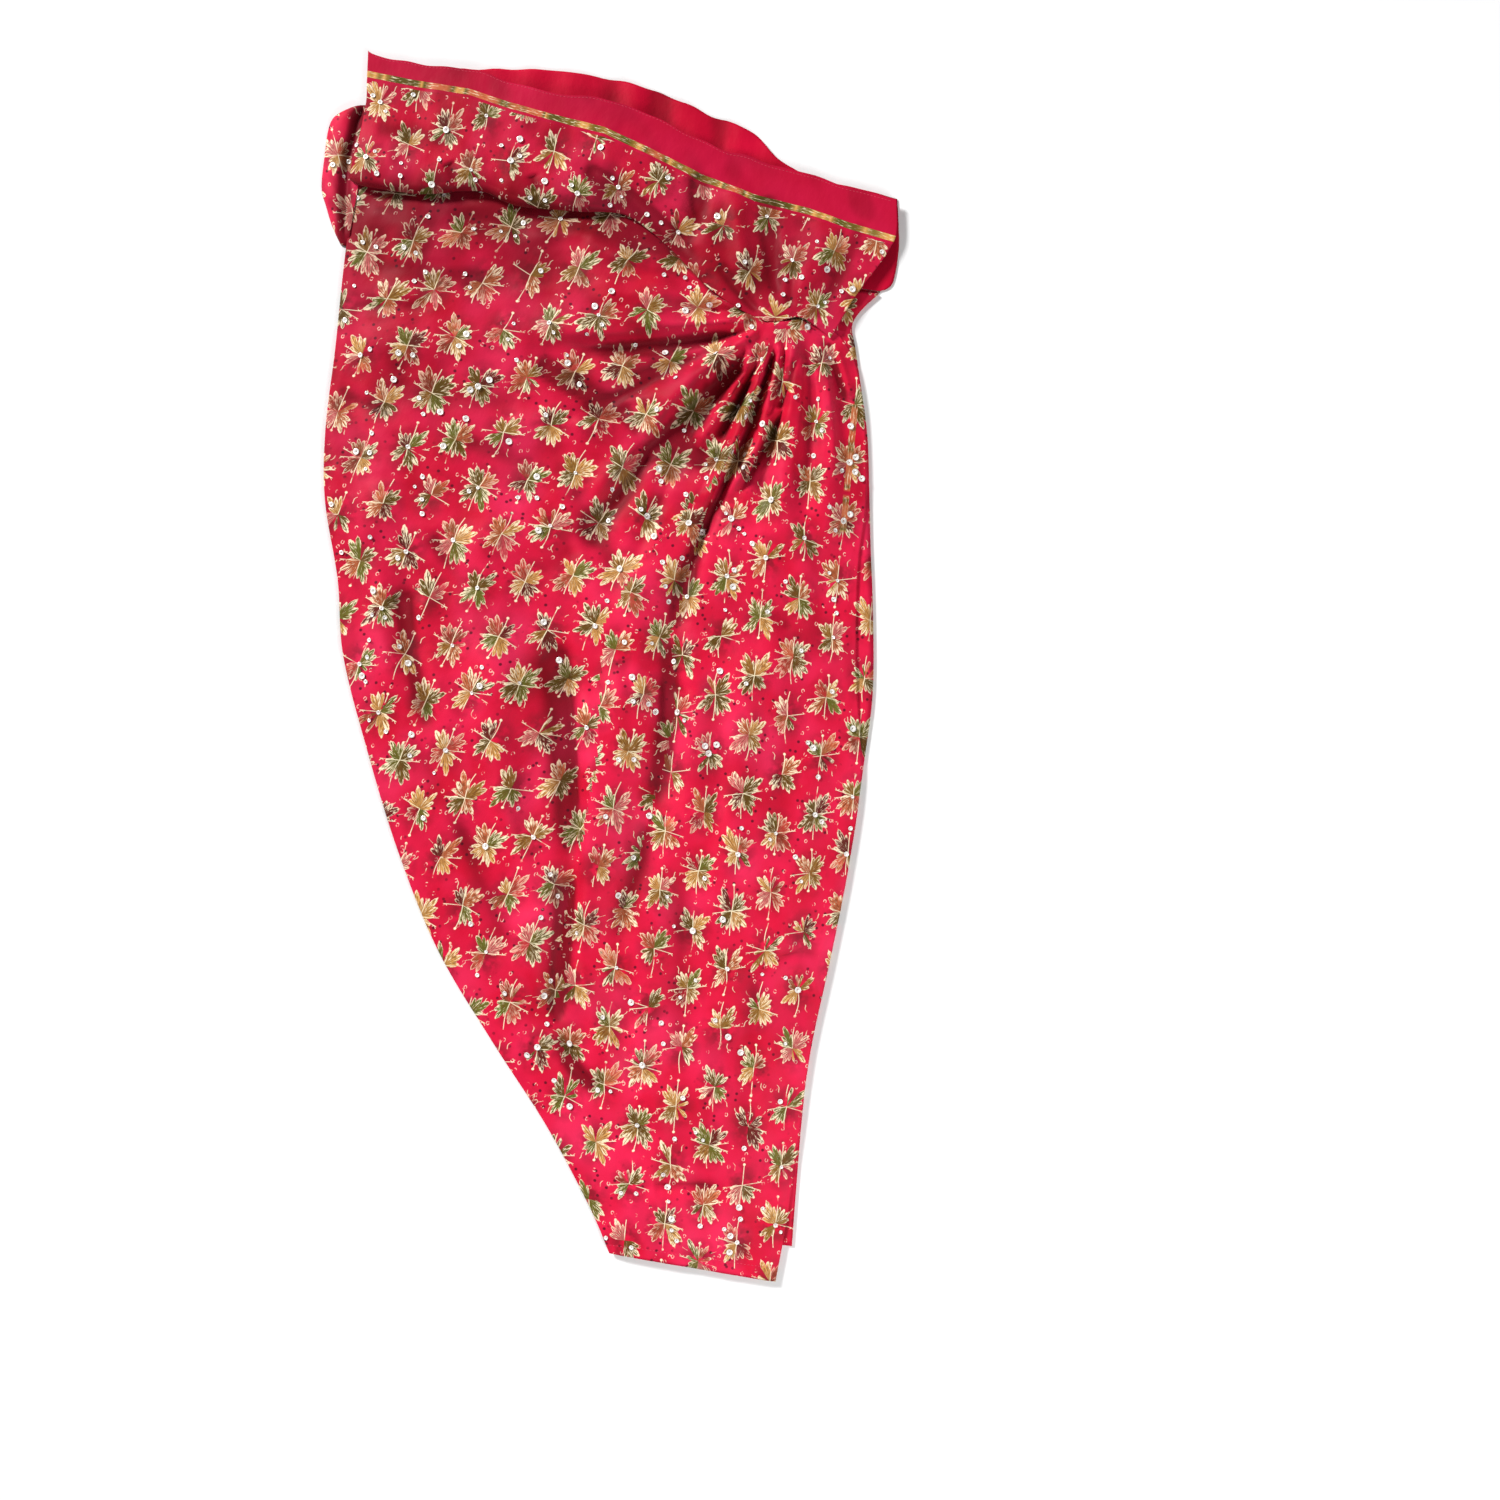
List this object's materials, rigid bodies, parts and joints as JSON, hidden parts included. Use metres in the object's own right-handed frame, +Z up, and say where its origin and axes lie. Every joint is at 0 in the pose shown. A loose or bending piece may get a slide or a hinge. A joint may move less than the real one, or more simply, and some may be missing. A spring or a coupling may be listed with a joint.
{
  "type": "patiala salwar",
  "caption": "Patiala salwar laid flat on its side: printed crepe, plain band at the waist, pleats gathered under a yoke seam, narrow ankle hems.",
  "frame": {"origin": "on the surface under the garment, at the middle of its bounding box", "axes": "+Y from the ankle hems to the waist, +X to the front edge, +Z up off the surface"},
  "size_m": [0.4734, 1.004, 0.0204],
  "materials": {
    "printed_crepe": "satin",
    "plain_band": "satin"
  },
  "bodies": {
    "root": {"near_belt": "printed_crepe", "far_belt": "plain_band", "near_leg_pleated_panel": "printed_crepe", "near_leg_inner_panel": "printed_crepe", "far_leg_inner_panel": "printed_crepe", "far_leg_outer_panel": "printed_crepe", "seat_gusset": "printed_crepe"}
  },
  "joints": []
}
